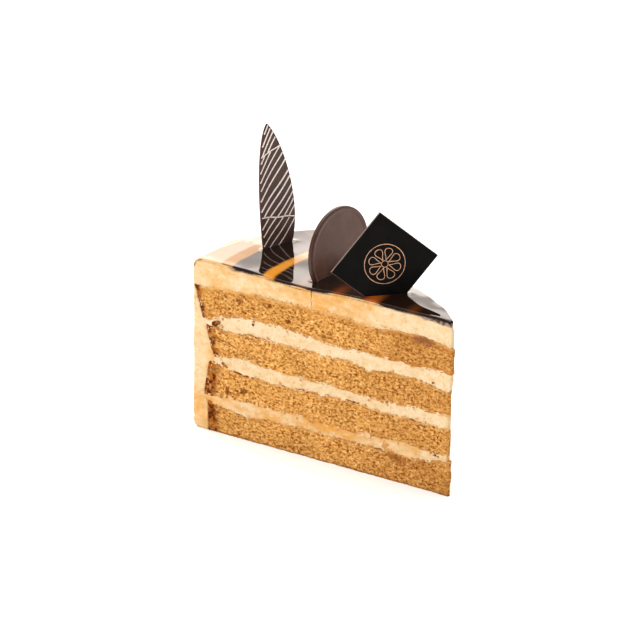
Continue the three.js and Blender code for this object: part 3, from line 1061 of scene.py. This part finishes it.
def eased_copy(node, name, material, width):
    """The frame's own plate with its edges eased."""
    bm = bmesh.new()
    bm.from_mesh(frame["nodes"][node].data)
    bmesh.ops.remove_doubles(bm, verts=bm.verts, dist=0.01 * MM)
    bmesh.ops.dissolve_limit(bm, angle_limit=math.radians(1), verts=bm.verts, edges=bm.edges)
    sharp = [e for e in bm.edges if e.is_manifold and e.calc_face_angle() > math.radians(60)]
    bmesh.ops.bevel(bm, geom=sharp, offset=width, segments=2, profile=0.5, affect="EDGES")
    bmesh.ops.recalc_face_normals(bm, faces=bm.faces)
    return from_bmesh(name, bm, material, smooth=False)


LINE_LIFT = 0.05 * MM


def add_lines(name, lines, material, place, slot):
    """Thin raised lines on a plate's front: each is a run of (x, z) in millimetres and a width."""
    points, faces = [], []
    over, under = -place["thickness"] / 2 + LINE_LIFT, -place["thickness"] / 2 - LINE_LIFT
    for run, width in lines:
        run = np.asarray(run, float) * MM
        along = np.gradient(run, axis=0)
        across = np.stack([-along[:, 1], along[:, 0]], axis=-1)
        across *= width * MM / 2 / np.linalg.norm(across, axis=-1, keepdims=True)
        first, rings = len(points), len(run)
        for centre, side in zip(run, across):
            for sign, y in ((-1, over), (-1, under), (1, under), (1, over)):
                x, z = centre + sign * side
                points.append((x, y, z))
        for a in range(first, first + 4 * (rings - 1), 4):
            b = a + 4
            faces += [(a + k, a + (k + 1) % 4, b + (k + 1) % 4, b + k) for k in range(4)]
        last = first + 4 * (rings - 1)
        faces += [(first + 3, first + 2, first + 1, first), (last, last + 1, last + 2, last + 3)]
    finish_piece(placed(make_mesh(name, points, faces, material, smooth=False), place), slot)


# The leaf's sides as Bezier curves, in millimetres.
LEAF_TIP = (1.6, 51.1)
LEAF_LEFT = [LEAF_TIP, (-5.4, 43.4), (-1.9, 6.9), (1.3, -6.5)]
LEAF_RIGHT = [LEAF_TIP, (11.0, 42.6), (25.8, 7.4), (13.7, -6.5)]
LEAF_EASE = 0.18 * MM
# Lines that cross the whole leaf: their height at the left in millimetres, and their slope. The
# first and last aren't drawn. Each band of lines lies between two of them, and its starts are
# heights on the left edge.
LEAF_CROSSINGS = [(-1.5, 0), (13.2, -0.2), (38.2, 0.25), (60, 0)]
LEAF_BANDS = [
    [6.4, 2.4, -1.9, -6.3, -10.5],
    [34.6, 31.2, 27.4, 23.6, 19.2, 14.6, 10.4, 6.2, 2.0, -2.3, -5.9],
    [43.4, 40.2, 36.6, 33],
]
CROSSING_WIDTH, EDGE_CLEAR = 0.5, 0.1


def leaf_edge(corners, height):
    """x of one of the leaf's sides at each height."""
    share = np.linspace(1, 0, 80)[:, None]
    a, b, c, d = (np.array(p) for p in corners)
    early = (1 - share) ** 3 * a + 3 * (1 - share) ** 2 * share * b
    curve = early + 3 * (1 - share) * share**2 * c + share**3 * d
    return np.interp(height, curve[:, 1], curve[:, 0])


def on_leaf(x, z):
    return (x > leaf_edge(LEAF_LEFT, z) + EDGE_CLEAR) & (x < leaf_edge(LEAF_RIGHT, z) - EDGE_CLEAR)


def crossing(line, x):
    height, slope = line
    return height + slope * (x + 1.5)


def leaf_lines():
    """Runs of (x, z) in millimetres, each with its width."""
    x = np.linspace(-3, 20, 70)
    lines = []
    for starts, low, high in zip(LEAF_BANDS, LEAF_CROSSINGS, LEAF_CROSSINGS[1:]):
        for k, start in enumerate(starts):
            slope = 0.95 + 0.02 * max(0, start - 14) + 0.03 * math.sin(5 * start)
            z = start + slope * (x + 2.5) + 0.6 * np.sin((x + 2.5) / 3.1)
            keep = on_leaf(x, z) & (z > crossing(low, x)) & (z < crossing(high, x))
            if keep.sum() > 3:
                width = 0.64 + 0.16 * math.sin(3.7 * k + start)
                lines.append((columns(x, z)[keep], width))
    for line in LEAF_CROSSINGS[1:-1]:
        z = crossing(line, x) + 0.15 * np.sin(x / 1.7)
        lines.append((columns(x, z)[on_leaf(x, z)], CROSSING_WIDTH))
    return lines


def leaf_pieces(material, lines_material):
    finish_piece(eased_copy("leaf", "chocolate_leaf", material, LEAF_EASE), "leaf_chocolate", "leaf")
    add_lines("leaf_lines", leaf_lines(), lines_material, LEAF, "leaf_chocolate")


# The disc in section, from the middle of its face out: a flat face, a low rim and an eased edge.
DISC_SECTION = [
    (15.2, 0.72), (15.5, 0.70), (15.75, 0.84), (16.1, 0.94), (16.8, 0.96), (17.25, 0.88), (17.45, 0.68),
    (17.5, 0.4),
]
DISC_STEPS = 160


def disc_piece(material):
    front = [(r * MM, -y * MM) for r, y in DISC_SECTION]
    section = front + [(r, -y) for r, y in front[::-1]]
    angles = np.arange(DISC_STEPS) * 2 * math.pi / DISC_STEPS
    points = [(r * math.cos(angle), y, r * math.sin(angle)) for r, y in section for angle in angles]
    steps = [(k, (k + 1) % DISC_STEPS) for k in range(DISC_STEPS)]
    starts = [ring * DISC_STEPS for ring in range(len(section))]
    faces = [(a + k, a + n, b + n, b + k) for a, b in zip(starts, starts[1:]) for k, n in steps]
    for first, (_, y) in ((starts[0], section[0]), (starts[-1], section[-1])):
        middle = len(points)
        points.append((0, y, 0))
        faces += [(middle, first + k, first + n) for k, n in steps]
    piece = make_mesh("chocolate_disc", points, faces, material)
    radius = np.hypot([p[0] for p in points], [p[2] for p in points])
    # The rim's outer side is darkened: painted shade.
    store(piece, edge=0.75 * after(radius, 16.4, 17.3))
    finish_piece(placed(piece, DISC), "disc_chocolate", "disc")


# A plain copper ornament, in millimetres: a rosette of eight looped petals round a ring, in a circle.
ROSETTE_RADIUS = 6.4
ROSETTE_RING = 1.3
CIRCLE_RADIUS = 7.9
PETALS = 8
PETAL_SWING = 0.30
ORNAMENT_WIDTH = 0.22


def ornament_lines():
    """Runs of (x, z) in millimetres, each with its width."""
    angles = np.linspace(0, 2 * math.pi, 61)
    ring = columns(np.cos(angles), np.sin(angles))
    share = np.linspace(0.02, 0.98, 25)
    out = ROSETTE_RING + (ROSETTE_RADIUS - ROSETTE_RING) * np.sin(math.pi * share)
    lines = [ring * ROSETTE_RING, ring * CIRCLE_RADIUS]
    for k in range(PETALS):
        angles = 2 * math.pi * (k + 0.5) / PETALS + PETAL_SWING * np.sin(2 * math.pi * share)
        lines.append(columns(out * np.cos(angles), out * np.sin(angles)))
    return [(line, ORNAMENT_WIDTH) for line in lines]


PLAQUE_EASE = 0.15 * MM
FLAT_FACE = 0.95  # a plate's face looks this nearly straight forwards or back, and its edge doesn't


def plaque_pieces(material, edge, copper):
    plaque = eased_copy("plaque", "chocolate_plaque", material, PLAQUE_EASE)
    yaw = math.radians(PLAQUE["yaw"])
    front = Vector((math.sin(yaw), -math.cos(yaw), 0))
    # Every face that isn't the front or back takes the edge material, painted lighter as a highlight.
    plaque.data.materials.append(edge)
    for face in plaque.data.polygons:
        face.material_index = int(abs(face.normal.dot(front)) < FLAT_FACE)
    finish_piece(plaque, "plaque_chocolate", "plaque")
    add_lines("plaque_ornament", ornament_lines(), copper, PLAQUE, "plaque_chocolate")


# ---- Camera, floor and light ----
CAMERA = {
    "azimuth": 50.73, "elevation": 21.04, "distance": 1537 * MM, "lens_in_pixels": 3985,
    "right": -11.73 * MM, "up": 7.89 * MM, "roll": 0.6,
}
CAMERA_TARGET = Vector((CENTRE_X - 60 * MM, 0, 45 * MM))
PHOTO_WIDTH = 640
SENSOR = 36.0


def add_camera():
    azimuth, elevation, roll = (math.radians(CAMERA[k]) for k in ("azimuth", "elevation", "roll"))
    level = math.cos(elevation)
    back = Vector((math.sin(azimuth) * level, -math.cos(azimuth) * level, math.sin(elevation)))
    right = (-back).cross(Vector((0, 0, 1))).normalized()
    up = right.cross(-back)
    right, up = right * math.cos(roll) + up * math.sin(roll), up * math.cos(roll) - right * math.sin(roll)
    data = bpy.data.cameras.new("camera")
    data.sensor_width = SENSOR
    data.lens = CAMERA["lens_in_pixels"] / PHOTO_WIDTH * SENSOR
    data.clip_start, data.clip_end = 0.1, 20
    camera = new_object("camera", data)
    place = CAMERA_TARGET + back * CAMERA["distance"] + right * CAMERA["right"] + up * CAMERA["up"]
    camera.matrix_world = Matrix.Translation(place) @ Matrix((right, up, back)).transposed().to_4x4()
    bpy.context.scene.camera = camera
    return back


def add_floor():
    bm = bmesh.new()
    bmesh.ops.create_grid(bm, x_segments=8, y_segments=8, size=3)
    m = new_material("floor")
    base = m.mix(m.remap(m.noise(400), 0.3, 0.7), (0.86, 0.86, 0.86, 1), (0.88, 0.88, 0.88, 1))
    floor = from_bmesh("floor", bm, m.surface(Base_Color=base, Roughness=0.9, Specular_IOR_Level=0.1))
    floor.location.z = -0.05 * MM


def add_light(name, place, size, power, target=(0, 0, 0.04)):
    """A soft light, which the shiny pieces don't mirror."""
    data = bpy.data.lights.new(name, "AREA")
    data.shape = "SQUARE"
    data.size = size
    data.energy = power
    light = new_object(name, data)
    light.location = place
    light.visible_glossy = False
    light.rotation_euler = (Vector(target) - Vector(place)).to_track_quat("-Z", "Y").to_euler()


# The room's brightness by height, which is 0 level with the slice and 1 overhead: where each part's
# brightness starts and stops changing, and from what to what.
ROOM = {
    "ceiling": (0.55, 0.85, 0.28, 2.18), "wall": (0.75, 0.9, 1.75, 0), "low_wall": (0.23, 0.33, 1.7, 0),
    "screen_foot": (0.35, 0.46, 0, 1), "screen_top": (0.62, 0.75, 2.9, 0),
}
BEHIND = (0.35, 0.75)  # how straight behind the slice the wall starts, and where it is whole
WALL_COLOUR = (1.0, 0.89, 0.82, 1)
FRONT_COLOUR = (1.0, 0.96, 0.92, 1)


def add_room(back):
    """A pale room: a bright ceiling, and behind the slice a warm wall with a bright screen on it."""
    world = Shader(bpy.data.worlds.new("studio"))
    height = world.add("ShaderNodeSeparateXYZ", {0: world.way}).outputs["Z"]
    backwards = Vector((-back.x, -back.y, 0)).normalized()
    facing = world.add("ShaderNodeVectorMath", {0: world.way, 1: backwards}, operation="DOT_PRODUCT")
    behind = world.remap(facing.outputs["Value"], *BEHIND, kind="SMOOTHSTEP")
    part = {name: world.remap(height, *steps, kind="SMOOTHSTEP") for name, steps in ROOM.items()}
    screen = world.times(part["screen_foot"], part["screen_top"])
    walls = world.math("ADD", world.math("ADD", part["wall"], part["low_wall"]), screen)
    background = world.tree.nodes["Background"].inputs
    world.feed(background["Color"], world.mix(behind, FRONT_COLOUR, WALL_COLOUR))
    world.feed(background["Strength"], world.math("MULTIPLY_ADD", behind, walls, part["ceiling"]))
    bpy.context.scene.world = world.owner


def set_view():
    scene = bpy.context.scene
    scene.view_settings.view_transform = "Standard"
    scene.view_settings.look = "None"


def main():
    add_room(add_camera())
    add_floor()
    add_light("key", (-0.65, -1.0, 0.95), 0.55, 9)
    add_light("fill", (0.55, -1.5, 0.6), 1.2, 7.5)
    set_view()
    sponge, cream = sponge_material(), cream_material()
    frosting_piece(cream, layer_pieces(sponge, cream))
    glaze_piece(
        glaze_material("glaze", 0.035, 0.5, PALE_GLAZE, DEEP_GLAZE),
        glaze_material("glaze_cut", 0.25, 0.07, PALE_CUT, DEEP_CUT),
    )
    leaf_pieces(
        chocolate_material("leaf_chocolate", rgb(78, 52, 43), rgb(60, 38, 31), 0.42, 0.2),
        line_material("leaf_line", rgb(250, 244, 238), rgb(236, 222, 214)),
    )
    disc_piece(chocolate_material("disc_chocolate", rgb(102, 71, 60), rgb(88, 58, 46), 0.38, 0.25))
    plaque_pieces(
        chocolate_material("plaque_chocolate", rgb(15, 14, 13), rgb(8, 7, 7), 0.45, 0.05),
        # The plaque's eased edges are painted lighter than its faces: a painted highlight.
        chocolate_material("plaque_edge_highlight", rgb(104, 88, 78), rgb(74, 60, 52), 0.5, 0.4),
        line_material("copper_line", rgb(212, 170, 136), rgb(182, 134, 102), 0.35, 0.4),
    )


main()
